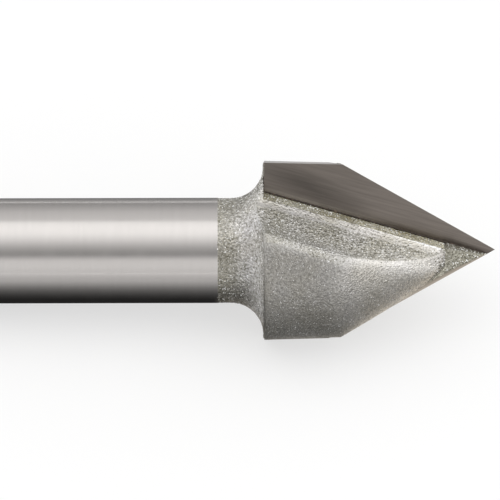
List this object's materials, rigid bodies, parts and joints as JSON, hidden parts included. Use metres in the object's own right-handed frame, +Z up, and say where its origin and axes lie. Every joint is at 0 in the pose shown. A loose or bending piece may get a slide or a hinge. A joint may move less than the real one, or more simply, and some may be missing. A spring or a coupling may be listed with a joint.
{
  "type": "v groove router bit",
  "caption": "V groove router bit with a straight round shank, a fluted conical head and brazed carbide cutting tips.",
  "frame": {"origin": "centre of the shank's end face", "axes": "+X along the axis toward the point, +Z up as the bit lies at rest on one flute"},
  "size_m": [0.0485, 0.0108, 0.0091],
  "materials": {
    "steel": "polished shank, blasted nickel plated head",
    "carbide": "fine ground tungsten carbide",
    "braze": "dull silver solder"
  },
  "bodies": {
    "root": {"body": "steel", "cutter_front": "carbide", "cutter_back": "carbide", "braze_front": "braze", "braze_back": "braze"}
  },
  "joints": []
}
